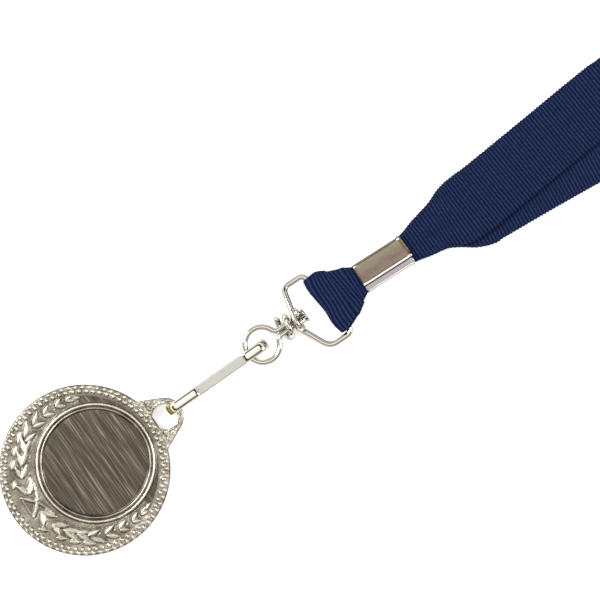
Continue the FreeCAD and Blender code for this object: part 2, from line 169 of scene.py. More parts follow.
def capped(faces, rows, columns):
    """Closes both ends of a run of rings."""
    last = (rows - 1) * columns
    return [*faces.tolist(), list(range(columns))[::-1], list(range(last, last + columns))]


def joined(*parts):
    """One set of points and faces from several."""
    points, faces, start = [], [], 0
    for some_points, some_faces in parts:
        points.append(some_points)
        faces += [[corner + start for corner in face] for face in some_faces]
        start += len(some_points)
    return np.concatenate(points), faces


def smooth_step(x, low, high):
    """Rises smoothly from 0 to 1 between two values."""
    share = np.clip((x - low) / (high - low), 0, 1)
    return share * share * (3 - 2 * share)


# ---- materials ----

class Nodes:
    """A material's node tree, with short calls to add and join nodes."""

    def __init__(self, name):
        self.material = bpy.data.materials.new(name)
        self.material.use_nodes = True
        self.tree = self.material.node_tree
        self.shader = self.tree.nodes["Principled BSDF"]

    def add(self, kind, inputs=None, **settings):
        node = self.tree.nodes.new(kind)
        for key, value in settings.items():
            setattr(node, key, value)
        for key, value in (inputs or {}).items():
            if isinstance(value, bpy.types.NodeSocket):
                self.tree.links.new(value, node.inputs[key])
            else:
                node.inputs[key].default_value = value
        return node

    def link(self, output, socket):
        self.tree.links.new(output, self.shader.inputs[socket])

    def metal(self, colour, roughness, edge_tint=None):
        """Looks of a metal, with what it reflects where it is seen edge on."""
        self.link(colour, "Base Color")
        self.link(roughness, "Roughness")
        self.shader.inputs["Metallic"].default_value = 1.0
        if edge_tint is not None:
            self.shader.inputs["Specular Tint"].default_value = edge_tint

    def place(self):
        """Where a point of the piece is, in metres along X, Y and Z."""
        return self.add("ShaderNodeSeparateXYZ", {0: self.add("ShaderNodeTexCoord").outputs["Object"]}).outputs

    def noise(self, scale, detail=4.0, turn=0.0, roughness=0.55):
        """Noise with its own number of grains to the metre along each axis."""
        where = self.add("ShaderNodeTexCoord").outputs["Object"]
        mapping = self.add("ShaderNodeMapping", {"Vector": where, "Scale": scale, "Rotation": (0, 0, turn)})
        node = self.add("ShaderNodeTexNoise", {"Vector": mapping.outputs[0], "Scale": 1.0, "Detail": detail,
                                               "Roughness": roughness})
        return node.outputs["Fac"]

    def share(self, value, low, high):
        """Runs from 0 at one place to 1 at another, both in millimetres."""
        return self.add("ShaderNodeMapRange", {0: value, 1: low * MM, 2: high * MM}).outputs[0]

    def ramp(self, value, stops):
        node = self.add("ShaderNodeValToRGB", {"Fac": value})
        element = node.color_ramp.elements
        while len(element) < len(stops):
            element.new(0.5)
        for item, (position, colour) in zip(element, stops):
            item.position = position
            item.color = (*colour, 1) if hasattr(colour, "__len__") else (colour,) * 3 + (1,)
        return node.outputs["Color"]

    def math(self, operation, a, b=0.0):
        return self.add("ShaderNodeMath", {0: a, 1: b}, operation=operation).outputs[0]

    def sum(self, a, a_weight, b, b_weight):
        return self.math("ADD", self.math("MULTIPLY", a, a_weight), self.math("MULTIPLY", b, b_weight))

    def mix(self, share, a, b):
        node = self.add("ShaderNodeMix", {"Factor": share}, data_type="RGBA")
        for socket, value in ((node.inputs[6], a), (node.inputs[7], b)):
            if isinstance(value, bpy.types.NodeSocket):
                self.tree.links.new(value, socket)
            else:
                socket.default_value = (*value, 1)
        return node.outputs[2]

    def bump(self, height, strength, distance, normal=None):
        """Bumps of a height in millimetres, over another normal where one is given."""
        inputs = {"Height": height, "Strength": strength, "Distance": distance * MM}
        if normal is not None:
            inputs["Normal"] = normal
        return self.add("ShaderNodeBump", inputs).outputs[0]


EDGE_TINT = (0.42, 0.39, 0.35, 1)  # what the plate reflects where it is seen edge on


def brushed_metal():
    """Antique nickel brushed at right angles to the lug: streaks, finer streaks and a cloudy tarnish."""
    n = Nodes("brushed_antique_nickel")
    streak = n.noise((3500, 90, 100), detail=1, turn=-LUG_TURN, roughness=0.5)
    finer = n.noise((6200, 260, 100), detail=1, turn=-LUG_TURN)
    cloud = n.noise((160, 160, 160), detail=3)
    colour = n.ramp(n.sum(streak, 0.72, finer, 0.28), [
        (0.34, (0.048, 0.039, 0.031)), (0.50, (0.083, 0.069, 0.056)), (0.60, (0.15, 0.132, 0.108)),
        (0.72, (0.34, 0.31, 0.26))])
    colour = n.mix(n.math("MULTIPLY", cloud, 0.3), colour, (0.080, 0.068, 0.056))
    n.metal(colour, n.ramp(streak, [(0.3, 0.36), (0.7, 0.50)]))
    n.link(n.bump(streak, 0.5, 0.04), "Normal")
    return n.material


def cast_metal():
    """The struck surface: tarnish in the hollows, brighter where it is raised, and a fine grain."""
    n = Nodes("cast_antique_nickel")
    raised = n.share(n.place()[2], 2.3, 3.05)
    grain = n.noise((2600, 2600, 2600), detail=4)
    cloud = n.noise((320, 320, 320), detail=3)
    colour = n.ramp(n.sum(raised, 0.62, cloud, 0.5), [
        (0.18, (0.045, 0.037, 0.029)), (0.36, (0.20, 0.178, 0.15)), (0.58, (0.44, 0.41, 0.35)),
        (0.9, (0.80, 0.76, 0.67))])
    n.metal(colour, n.ramp(grain, [(0.3, 0.20), (0.7, 0.38)]), EDGE_TINT)
    n.link(n.bump(grain, 0.35, 0.12), "Normal")
    return n.material


def polished_metal(name, colour, low, high, metallic=1.0):
    """Nickel plate with faint handling marks and small changes of tone."""
    n = Nodes(name)
    marks = n.noise((1500, 400, 900), detail=5)
    cloud = n.noise((260, 260, 260), detail=2)
    darker = tuple(0.78 * c for c in colour)
    n.metal(n.mix(n.math("MULTIPLY", cloud, 0.6), colour, darker),
            n.ramp(marks, [(0.3, low), (0.75, high)]), EDGE_TINT)
    n.shader.inputs["Metallic"].default_value = metallic
    n.link(n.bump(marks, 0.12, 0.03), "Normal")
    return n.material


def link_metal():
    """The link's plate, worn to a yellow base metal at the bend that rubs in the lug."""
    n = Nodes("link_nickel")
    worn = n.share(n.place()[0], 26.4, 24.6)
    marks = n.noise((1500, 500, 900), detail=5)
    worn = n.math("MULTIPLY", worn, n.math("ADD", marks, 0.35))
    n.metal(n.mix(worn, (0.62, 0.60, 0.55), (0.60, 0.53, 0.22)),
            n.ramp(marks, [(0.3, 0.06), (0.75, 0.14)]), EDGE_TINT)
    n.link(n.bump(marks, 0.12, 0.03), "Normal")
    return n.material


def crimp_metal():
    """Thin sheet: grey on its narrow side, painted shade along the standing fold on top with a painted highlight
    beside it, and a heat tint from olive to purple over the rest.
    """
    n = Nodes("crimp_sheet")
    x, y, _ = n.place()
    across = n.share(n.math("SUBTRACT", y, n.math("MULTIPLY", x, math.tan(CRIMP_TURN))), -0.9, 6.3)
    cloud = n.noise((420, 900, 600), detail=4, roughness=0.65)
    colour = n.ramp(n.sum(across, 0.75, cloud, 0.5), [
        (0.36, (0.150, 0.106, 0.118)), (0.50, (0.160, 0.112, 0.114)), (0.58, (0.165, 0.143, 0.098)),
        (0.68, (0.150, 0.104, 0.108)), (0.80, (0.165, 0.144, 0.104)), (1.0, (0.21, 0.185, 0.155))])
    # Painted light across the standing fold: the grey darkens towards it, then come a stripe of painted shade and
    # a stripe of painted highlight, and past them the heat tint.
    painted_highlight, dark = (0.95, 0.93, 0.92), (0.06, 0.055, 0.07)
    seam_with_painted_light = n.ramp(across, [(0.0, (0.60, 0.585, 0.59)), (0.215, (0.50, 0.48, 0.49)), (0.240, dark),
                           (0.272, dark), (0.288, painted_highlight), (1.0, painted_highlight)])
    past_seam = n.ramp(across, [(0.318, 0.0), (0.338, 1.0)])
    n.metal(n.mix(past_seam, seam_with_painted_light, colour), n.ramp(cloud, [(0.3, 0.16), (0.75, 0.30)]), EDGE_TINT)
    n.link(n.bump(n.noise((2200, 500, 900)), 0.10, 0.03), "Normal")
    return n.material


def ribbon_fabric():
    """Navy cross-ribbed weave: rounded ribs across the ribbon, with fine warp lines and fibre, and its colour
    darkened in the grooves and lightened on the rib tops as painted shade and painted highlight.
    """
    n = Nodes("navy_ribbed_ribbon")
    along, across, _ = n.add("ShaderNodeSeparateXYZ", {
        0: n.add("ShaderNodeUVMap", uv_map="Along").outputs[0]}).outputs
    wobble = n.math("MULTIPLY", n.noise((220, 220, 220), detail=2), 0.10)
    rib_turn = n.math("MULTIPLY", n.math("ADD", n.math("MULTIPLY", along, MAP_SPAN), wobble), TAU / RIB_PITCH)
    rib = n.math("ABSOLUTE", n.math("SINE", n.math("MULTIPLY", rib_turn, 0.5)))
    warp = n.math("ABSOLUTE", n.math("SINE", n.math("MULTIPLY", across, MAP_SPAN * TAU / WARP_PITCH)))
    fibre = n.noise((3000, 3000, 3000), detail=3, roughness=0.7)
    cloud = n.noise((130, 130, 130), detail=2)
    height = n.math("ADD", rib, n.math("MULTIPLY", warp, 0.12))
    # The rib profile sets part of the colour: painted shade in the grooves between ribs and a painted highlight on
    # their tops. The fibre speckle and the cloud are the cloth's own tone.
    colour = n.ramp(n.sum(rib, 0.46, fibre, 0.64), [
        (0.32, (0.0003, 0.0009, 0.010)), (0.62, (0.0015, 0.0058, 0.034)), (0.95, (0.021, 0.043, 0.128))])
    colour = n.mix(n.math("MULTIPLY", cloud, 0.2), colour, (0.0022, 0.007, 0.030))
    n.link(colour, "Base Color")
    n.link(n.ramp(fibre, [(0.2, 0.62), (0.8, 0.80)]), "Roughness")
    n.shader.inputs["Specular IOR Level"].default_value = 0.1
    n.link(n.bump(height, 0.9, 0.16, n.bump(fibre, 0.3, 0.03)), "Normal")
    return n.material


def band_fabric():
    """The dark elastic band round the put-away ribbon."""
    n = Nodes("elastic_band")
    weave = n.noise((900, 6000, 6000), detail=3)
    n.link(n.ramp(weave, [(0.3, (0.010, 0.012, 0.020)), (0.7, (0.035, 0.04, 0.06))]), "Base Color")
    n.link(n.ramp(weave, [(0.3, 0.6), (0.7, 0.85)]), "Roughness")
    n.link(n.bump(weave, 0.6, 0.08), "Normal")
    return n.material


BRUSHED, CAST = brushed_metal(), cast_metal()
WIRE = polished_metal("nickel_wire", (0.56, 0.54, 0.50), 0.06, 0.13)
COINED = polished_metal("coined_nickel", (0.44, 0.43, 0.41), 0.45, 0.60, metallic=0.5)
LINK, SHEET, RIBBON, BAND = link_metal(), crimp_metal(), ribbon_fabric(), band_fabric()

# ---- camera and cord route come first ----

VIEW_CENTRE, VIEW_WIDTH, CAMERA_HEIGHT, SENSOR = (64.07, 3.7), 140.8, 600.0, 36.0
VIEW_TURN = math.radians(-35)
camera_data = bpy.data.cameras.new("camera")
camera_data.sensor_width = SENSOR
camera_data.lens = SENSOR * CAMERA_HEIGHT / VIEW_WIDTH
camera_data.clip_start = 0.01
camera = bpy.data.objects.new("camera", camera_data)
camera.location = (VIEW_CENTRE[0] * MM, VIEW_CENTRE[1] * MM, CAMERA_HEIGHT * MM)
camera.rotation_euler = (0, 0, VIEW_TURN)
bpy.context.collection.objects.link(camera)
bpy.context.scene.camera = camera

FRONT_ROUTE = [(85.0, -0.7, 3.25), (92.4, -1.0, 3.3), (99.5, -0.75, 2.5), (104.0, -0.95, 1.7),
               (109.0, -0.85, 1.35), (129.0, 0.6, 1.25), (152.0, 2.5, 1.25)]
HANK_ROUTE = [(190, 4.0, 1.5), (240, 5.0, 1.65), (290, 5.2, 1.5), (313, 5.6, 1.3), (323, 6.6, 1.1),
              (324.5, 7.8, 2.9), (316, 9.8, 3.1), (290, 11.3, 2.7), (240, 11.5, 2.75), (205, 11.5, 2.75),
              (181, 10.6, 2.55), (170, 8.0, 2.35), (167, 5.2, 2.5), (167, 3.0, 4.6), (171, 0.6, 4.6),
              (181, -1.0, 4.1), (205, -1.5, 3.95), (240, -1.5, 3.85), (290, -1.7, 4.0), (313, -2.6, 4.5),
              (323.5, -4.4, 4.3), (324.5, -6.0, 0.7), (314, -7.4, 0.5), (290, -8.0, 0.7), (240, -8.2, 0.85),
              (190, -8.4, 0.6)]
BACK_ROUTE = [(85.0, -0.7, 1.65), (92.4, -1.0, 1.65), (99.5, -1.9, 1.3), (104.0, -3.1, 0.75),
              (109.0, -3.85, 0.4), (129.0, -5.45, 0.4), (152.0, -7.9, 0.4)]


def route_line(points):
    """The smooth line of a route: a NURBS curve with those control points, read back in millimetres."""
    data = bpy.data.curves.new("route", "CURVE")
    data.dimensions = "3D"
    data.resolution_u = 24
    spline = data.splines.new("NURBS")
    spline.points.add(len(points) - 1)
    for point, place in zip(spline.points, points):
        point.co = (*(c * MM for c in place), 1)
    spline.order_u = 3
    spline.use_endpoint_u = True
    bare = bpy.data.objects.new("route", data)
    mesh = bpy.data.meshes.new_from_object(bare)
    line = np.array([v.co for v in mesh.vertices]) / MM
    bpy.data.meshes.remove(mesh)
    bpy.data.curves.remove(data)
    return line


# ---- ribbon ----

HALF = RIBBON_WIDTH / 2
CURL = 0.32  # radius of an edge that is folded under
CURL_ANGLES = np.linspace(0, math.pi, 60)
CURL_TAKES = CURL * (CURL_ANGLES - np.sin(np.minimum(CURL_ANGLES, math.pi / 2)))  # width lost to each angle


def fold_profile(half_width, columns=34):
    """The middle line across a ribbon whose edges curl under to fit a half width: (distance, y, z)."""
    fine = np.linspace(0, HALF, 301)
    most = np.interp(HALF - half_width, CURL_TAKES, CURL_ANGLES)
    flat = half_width - CURL * math.sin(min(most, math.pi / 2))
    angle = np.clip((fine - flat) / CURL, 0, most)
    step = fine[1]
    y = np.concatenate([[0], np.cumsum(np.cos(angle[1:]) * step)])
    z = np.concatenate([[0], np.cumsum(-np.sin(angle[1:]) * step)])
    # The points kept are few on the flat and close together round the curl.
    keep = np.unique(np.concatenate([
        np.linspace(0, HALF, 6), np.linspace(flat - 0.1, flat + math.pi * CURL, 10)]))
    keep = np.interp(np.linspace(0, 1, columns // 2), np.linspace(0, 1, len(keep)), np.clip(keep, 0, HALF))
    y, z = np.interp(keep, fine, y), np.interp(keep, fine, z)
    return (np.concatenate([-keep[::-1], keep[1:]]), np.concatenate([-y[::-1], y[1:]]),
            np.concatenate([z[::-1], z[1:]]))


def ribbon_band(line, half_widths, across, curl_side, scallop, ripple=None):
    """A closed ribbon along a line: points, faces and the (along, across) place of each point.

    At each point of the line: the half width, the line across, the side that the edges curl to (1 or -1) and
    how strongly the ribs scallop the edge. A ripple gives heights across the ribbon.
    """
    direction = tangents(line)
    direction[:, 1] *= direction[:, 0] ** 2  # at a fold the ribbon slides over sideways without leaning
    direction = unit(direction)
    across = unit(across - direction * (across * direction).sum(1, keepdims=True))
    normal = np.cross(direction, across)
    run = np.concatenate([[0], np.cumsum(np.linalg.norm(np.diff(line, axis=0), axis=1))])
    points, places = [], []
    for i, (centre, half_width) in enumerate(zip(line, half_widths)):
        distance, y, z = fold_profile(half_width)
        if scallop[i]:
            y = y * (1 + SCALLOP * scallop[i] * abs(math.sin(math.pi * run[i] / RIB_PITCH)))
        z = z * curl_side[i]
        if ripple is not None:
            z = z + ripple(i, distance)
        lean = np.stack([-np.gradient(z), np.gradient(y)], axis=1)
        lean = unit(lean) * RIBBON_THICK / 2
        edge = np.stack([y, z], axis=1)
        loop = np.concatenate([edge + lean, (edge - lean)[::-1]])
        points.append(centre + loop[:, :1] * across[i] + loop[:, 1:] * normal[i])
        both = np.concatenate([distance, distance[::-1]])
        places.append(np.stack([np.full(len(both), run[i]), both], axis=1) / MAP_SPAN)
    columns = len(points[0])
    faces = [list(f) for f in grid_faces(len(points), columns, wrap_columns=True, flip=True)]
    last = (len(points) - 1) * columns
    half = columns // 2
    for k in range(half - 1):  # both cut ends, closed between the two faces of the ribbon
        faces.append([k, k + 1, columns - 2 - k, columns - 1 - k])
        faces.append([last + k + 1, last + k, last + columns - 1 - k, last + columns - 2 - k])
    return np.concatenate(points), faces, np.concatenate(places)


def respaced(line, spacing):
    """The line again at distances given by a function of where it is, in millimetres."""
    run = np.concatenate([[0], np.cumsum(np.linalg.norm(np.diff(line, axis=0), axis=1))])
    at = [0.0]
    while at[-1] < run[-1]:
        here = np.array([np.interp(at[-1], run, line[:, k]) for k in range(3)])
        at.append(at[-1] + spacing(here))
    at[-1] = run[-1]
    return np.stack([np.interp(at, run, line[:, k]) for k in range(3)], axis=1)


def smoothed(values, reach):
    """A running mean over a number of places, with the ends held."""
    padded = np.pad(values, reach, mode="edge")
    return np.convolve(padded, np.ones(2 * reach + 1) / (2 * reach + 1), "valid")


# How far the ribbon's edges stand from its middle, by X: the front strap, the back one, then the ring's loop.
FRONT_HALF = ([85.0, 91.5, 95.0, 99.0, 101.5, 104.0, 107.0, 111.0], [2.85, 3.3, 4.2, 5.0, 5.5, 6.75, 7.35, 7.5])
BACK_HALF = ([85.0, 92.0, 99.5, 103.0, 105.0, 107.0, 110.0], [2.85, 3.0, 3.7, 4.4, 5.7, 6.7, 7.5])
LOOP_HALF = ([69.5, 71.0, 73.0, 75.3, 77.2, 78.0, 78.6, 84.5], [7.5, 7.3, 6.15, 4.95, 3.85, 3.35, 2.9, 2.85])
FINE, COARSE, STRAPS_END = 0.25, 1.0, 152  # spacing in the straps and in the hank, and where the one ends
FRONT_LIFT, BACK_LIFT = 0.5, 0.15  # where the edges are folded under, the front strap rides over the back one

neck_line = respaced(route_line(FRONT_ROUTE + HANK_ROUTE + BACK_ROUTE[::-1]),
                     lambda p: FINE if p[0] < STRAPS_END else COARSE)
neck_x = neck_line[:, 0]
on_front = np.arange(len(neck_line)) < len(neck_line) / 2
folded = smooth_step(neck_x, 96.0, 101.0) * smooth_step(-neck_x, -114.0, -106.0)
neck_line[:, 2] += folded * np.where(on_front, FRONT_LIFT, BACK_LIFT)
neck_half = smoothed(np.where(on_front, np.interp(neck_x, *FRONT_HALF), np.interp(neck_x, *BACK_HALF)), 7)
scalloped = smooth_step(-neck_x, -STRAPS_END - 1, -STRAPS_END + 1) * smooth_step(neck_x, 92.0, 96.0)
crimp_across = np.array([math.sin(-CRIMP_TURN), math.cos(CRIMP_TURN), 0.0])


def neck_ripple(i, distance):
    """Soft gathers, one coarse and one fine, that start past the crimp and fade away from it."""
    x = neck_line[i, 0]
    fade = math.exp(-max(0.0, x - 96.0) / 7.0) * smooth_step(x, 92.0, 97.0)
    coarse, fine = 0.28 * np.cos(distance * 1.25 + 0.05 * x), 0.10 * np.cos(distance * 2.9)
    return fade * (coarse + fine)


neck_points, neck_faces, neck_places = ribbon_band(
    neck_line, neck_half, np.tile(crimp_across, (len(neck_line), 1)), np.where(on_front, 1.0, -1.0),
    scalloped, neck_ripple)
neck_points[:, 2] = np.maximum(neck_points[:, 2], LOWEST)
neck = make_piece("neck_ribbon", neck_points, neck_faces, [RIBBON], "lanyard",
                  ("ribbon_front_strap", "ribbon_back_strap", "ribbon_hank"), uv=neck_places)

# The loop on the ring's bar: out of the crimp, round the bar and back.
LOOP_UPPER = np.array([(84.5, -0.68, 3.35), (78.5, -0.45, 3.5), (76.0, -0.35, 3.72), (73.0, -0.6, 3.78),
                       (70.6, -0.6, 3.52)])
LOOP_LOWER = np.array([(70.6, -0.6, 1.05), (73.0, -0.6, 0.95), (76.0, -0.35, 1.1), (78.5, -0.45, 1.5),
                       (84.5, -0.68, 1.55)])
LOOP_SCALLOP = 0.3  # a share of the straps', because the edges come so close to the ring's bends
BAR_MIDDLE = np.array([(BAR_A[0] + BAR_B[0]) / 2 - 0.02, -0.6, BAR_Z])
FOLD_RADIUS = RING_WIRE / 2 + 0.08 + RIBBON_THICK / 2  # round the bar with a little play
bar_across = unit(np.array([BAR_A[0] - BAR_B[0], BAR_A[1] - BAR_B[1], 0.0]))
half_turn = np.linspace(math.pi / 2, 3 * math.pi / 2, 15)
fold_line = BAR_MIDDLE + FOLD_RADIUS * np.stack([np.cos(half_turn), 0 * half_turn, np.sin(half_turn)], axis=1)
loop_line = respaced(np.concatenate([LOOP_UPPER, fold_line, LOOP_LOWER]), lambda p: FINE)
loop_x = loop_line[:, 0]
to_crimp = smooth_step(loop_x, 69.5, 78.5)[:, None]
loop_points, loop_faces, loop_places = ribbon_band(
    loop_line, smoothed(np.interp(loop_x, *LOOP_HALF), 5), bar_across * (1 - to_crimp) + crimp_across * to_crimp,
    np.full(len(loop_line), -1.0), LOOP_SCALLOP * smooth_step(-loop_x, -78.5, -76.0))
# The slack fold doesn't follow the bar: it stands square to the ribbon. FOLD_EDGE is its outer X by Y. Past
# about Y 6 that is nearer than a plain wrap, and the ribbon's edge runs slightly into the wire.
FOLD_EDGE = ([-8.5, -6.5, -5.0, -1.6, 1.2, 4.3, 6.0, 7.3], [67.75, 67.2, 67.05, 67.3, 67.0, 66.7, 66.9, 67.3])
plain_edge = BAR_MIDDLE[0] - FOLD_RADIUS - RIBBON_THICK / 2 + bar_across[0] / bar_across[1] * (
    loop_points[:, 1] - BAR_MIDDLE[1])
slack = np.interp(loop_points[:, 1], *FOLD_EDGE) - plain_edge
loop_points[:, 0] += slack * (1 - smooth_step(loop_points[:, 0], 68.0, 74.5))
ring_loop = make_piece("ribbon_loop", loop_points, loop_faces, [RIBBON], "lanyard",
                       ("ribbon_ring_loop",), uv=loop_places)

# ---- hank tie ----

TIE_X, TIE_THICK = 240.0, 0.42
tie_corners = [(1.0, 0.22), (-14.9, 0.22), (-15.7, 1.0), (-8.9, 4.35), (5.8, 4.5), (18.6, 3.1), (19.0, 0.9),
               (17.5, 0.22), (1.0, 0.22)]
tie_loop = rounded_path([(0, y, z) for y, z in tie_corners], [0.5, 0.5, 2.0, 2.0, 0.8, 0.6, 0.6], steps=6)[:-1]
outward = tangents(tie_loop, closed=True)
outward = np.stack([0 * outward[:, 0], -outward[:, 2], outward[:, 1]], axis=1)
TIE_SECTION = [(-3.0, 0.0), (-2.8, 0.5), (-1.4, 0.38), (0, 0.5), (1.4, 0.38), (2.8, 0.5), (3.0, 0.0),
               (2.8, -0.5), (0, -0.5), (-2.8, -0.5)]
tie_points = np.concatenate([
    tie_loop + np.array([TIE_X + x, 0, 0]) + outward * rise * TIE_THICK for x, rise in TIE_SECTION])
tie = make_piece("hank_band", tie_points, grid_faces(len(TIE_SECTION), len(tie_loop), True, True, flip=True),
                 [BAND], "lanyard", ("hank_tie",))

# ---- crimp ----

# Its outside as (y, z) corners, each with its bend radius. A standing seam runs along the top.
CRIMP_OUTLINE = [(3.6, 0.0), (3.6, 1.75), (3.05, 2.2), (0.0, 2.22), (-1.44, 2.1), (-1.54, 2.31), (-1.80, 2.28),
                 (-2.0, 1.9), (-3.3, 1.02), (-3.6, 0.2), (-3.6, -1.7), (-3.1, -2.2), (0.0, -2.22),
                 (3.1, -2.2), (3.6, -1.7), (3.6, 0.0)]
CRIMP_BENDS = [0.7, 0.7, 6.0, 0.12, 0.12, 0.15, 0.15, 0.8, 2.0, 0.7, 0.7, 6.0, 0.7, 0.7]
HALF_CRIMP, CRIMP_HALF_WIDTH, WALL = CRIMP_LENGTH / 2, 3.6, 0.42
FLARE_LENGTH, FLARE, END_ROUND = 1.6, 0.22, 0.06  # the +X mouth opens out, and both ends are rounded in
BOW_LENGTH, BOW = 2.5, 0.45  # the +X mouth's edge is drawn back at its sides

outline = rounded_path([(0, y, z) for y, z in CRIMP_OUTLINE], CRIMP_BENDS, steps=7)[:-1, 1:]
away = tangents(outline, closed=True)
away = np.stack([away[:, 1], -away[:, 0]], axis=1)
stations = np.concatenate([[-HALF_CRIMP], np.linspace(-HALF_CRIMP + 0.12, HALF_CRIMP - FLARE_LENGTH, 9),
                           np.linspace(HALF_CRIMP - 1.3, HALF_CRIMP, 6)])
opening = FLARE * smooth_step(stations, HALF_CRIMP - FLARE_LENGTH, HALF_CRIMP) ** 1.5
opening -= END_ROUND * (np.abs(stations) > HALF_CRIMP - 0.05)
rings = [(x, outline + away * out) for x, out in zip(stations, opening)]
rings += [(x, outline + away * (out - WALL)) for x, out in zip(stations[::-1], opening[::-1])]
crimp_points = []
for x, ring_outline in rings:
    y, z = ring_outline.T
    drawn_back = BOW * (y / CRIMP_HALF_WIDTH) ** 2 * smooth_step(x, HALF_CRIMP - BOW_LENGTH, HALF_CRIMP)
    crimp_points.append(np.stack([x - drawn_back, y, z], axis=1))
crimp_points = np.concatenate(crimp_points)
cos_roll, sin_roll = math.cos(CRIMP_ROLL), math.sin(CRIMP_ROLL)
roll = np.array([[1, 0, 0], [0, cos_roll, -sin_roll], [0, sin_roll, cos_roll]])
cos_turn, sin_turn = math.cos(CRIMP_TURN), math.sin(CRIMP_TURN)
turn = np.array([[cos_turn, -sin_turn, 0], [sin_turn, cos_turn, 0], [0, 0, 1]])
crimp_points = crimp_points @ (turn @ roll).T + CRIMP
crimp_points[:, 2] = np.maximum(crimp_points[:, 2], LOWEST)
crimp = make_piece("crimp_sleeve", crimp_points, grid_faces(len(rings), len(outline), True, True),
                   [SHEET], "lanyard", ("ribbon_crimp",))

# ---- wire ring ----

STEP = 60  # degrees of coil from one corner of the route to the next
COIL_A_START = 60.15
COIL_B_X = (58.85, 58.95, 58.75, 58.25, 57.5, 56.75, 56.45)
COIL_B_TAIL = (57.1, 3.5, 2.0)


def coil_point(angle, x):
    """A corner of a route whose arcs run round the coil."""
    radius = COIL_RADIUS / math.cos(math.radians(STEP / 2))
    turned = math.radians(angle)
    return (x, SWIVEL_Y + radius * math.cos(turned), SWIVEL_Z + radius * math.sin(turned))


def touch_angle(corner):
    """Where on the coil the wire from a corner of the ring runs on to it, in degrees."""
    dy, dz = corner[1] - SWIVEL_Y, BAR_Z - SWIVEL_Z
    return math.degrees(math.atan2(dz, dy) + math.acos(COIL_RADIUS / math.hypot(dy, dz)))


turns = [STEP / 2 + STEP * step for step in range(7)]
coil_a = [coil_point(touch_angle(CORNER_A) + turned, COIL_A_START + COIL_PITCH * turned / 360) for turned in turns]
coil_a[-1] = tuple(np.array(coil_a[-1]) * 0.55 + np.array(coil_a[-2]) * 0.45)  # the last run is cut short
coil_b = [coil_point(touch_angle(CORNER_B) + turned, x) for turned, x in zip(turns, COIL_B_X)]
ring_route = [*coil_a[::-1], (*CORNER_A, BAR_Z), (*BAR_A, BAR_Z), (*BAR_B, BAR_Z), (*CORNER_B, BAR_Z),
              *coil_b, COIL_B_TAIL]
ring_bends = [1.2 * CORNER_RADIUS, CORNER_RADIUS, CORNER_RADIUS, 2 * CORNER_RADIUS]
bends = [COIL_RADIUS] * 6 + ring_bends + [COIL_RADIUS] * 7
ring_points, ring_faces = tube(rounded_path(ring_route, bends), RING_WIRE / 2, sides=24)
ring = make_piece("wire_ring", ring_points, ring_faces, [WIRE], "ring", ("ring_wire",))

# ---- swivel eye ----

neck_rise, half_seat = STRAND + NECK_RADIUS, EYE_SEAT / 2
eye_neck_x = EYE_CENTRE + math.sqrt((EYE_RADIUS + NECK_RADIUS) ** 2 - (neck_rise - half_seat) ** 2)
lean = math.atan2(neck_rise - half_seat, eye_neck_x - EYE_CENTRE)
end_x = HEAD_START + 0.1
eye_flat = np.concatenate([
    [[end_x, STRAND]],
    arc((eye_neck_x, neck_rise), NECK_RADIUS, 1.5 * math.pi, math.pi + lean, 10),
    arc((EYE_CENTRE, half_seat), EYE_RADIUS, lean, math.pi, 28)[1:],
    arc((EYE_CENTRE, -half_seat), EYE_RADIUS, math.pi, TAU - lean, 28),
    arc((eye_neck_x, -neck_rise), NECK_RADIUS, math.pi - lean, math.pi / 2, 10)[1:],
    [[end_x, -STRAND]]])
eye_path = np.column_stack([eye_flat[:, 0], eye_flat[:, 1] + SWIVEL_Y, np.full(len(eye_flat), SWIVEL_Z)])
head = lathe_x([(HEAD_START, HEAD_RADIUS * 0.94), (HEAD_START + 0.1, HEAD_RADIUS),
                (HEAD_START + 0.3, HEAD_RADIUS * 0.96), (HEAD_START + HEAD_THICK, HEAD_RADIUS * 0.7)],
               (SWIVEL_Y, SWIVEL_Z))
eye_points, eye_faces = joined(tube(eye_path, EYE_WIRE / 2, sides=24), head)
eye = make_piece("swivel_eye", eye_points, eye_faces, [WIRE], "eye", ("eye_wire",))

# ---- connector link ----

COIN_START, COIN_END, COIN_BLEND = 32.4, 45.4, 0.25
inner_radius = LINK_HEIGHT / 2 - STRIP_THICK
left, right, middle = LINK_START + LINK_HEIGHT / 2, LINK_END - LINK_HEIGHT / 2, LINK_HEIGHT / 2
straight = np.unique(np.concatenate([
    np.linspace(left, right, 24), [COIN_START - COIN_BLEND, COIN_START, COIN_END, COIN_END + COIN_BLEND]]))
bottom = [((x, middle - inner_radius), (0, -1)) for x in straight[1:-1]]
top = [((x, middle + inner_radius), (0, 1)) for x in straight[-2:0:-1]]


def link_bend(centre_x, start):
    """Places and outward directions round one end of the link."""
    out = []
    for angle in np.linspace(start, start + math.pi, 21):
        way = (math.cos(angle), math.sin(angle))
        out.append(((centre_x + inner_radius * way[0], middle + inner_radius * way[1]), way))
    return out


link_line = link_bend(left, math.pi / 2) + bottom + link_bend(right, -math.pi / 2) + top
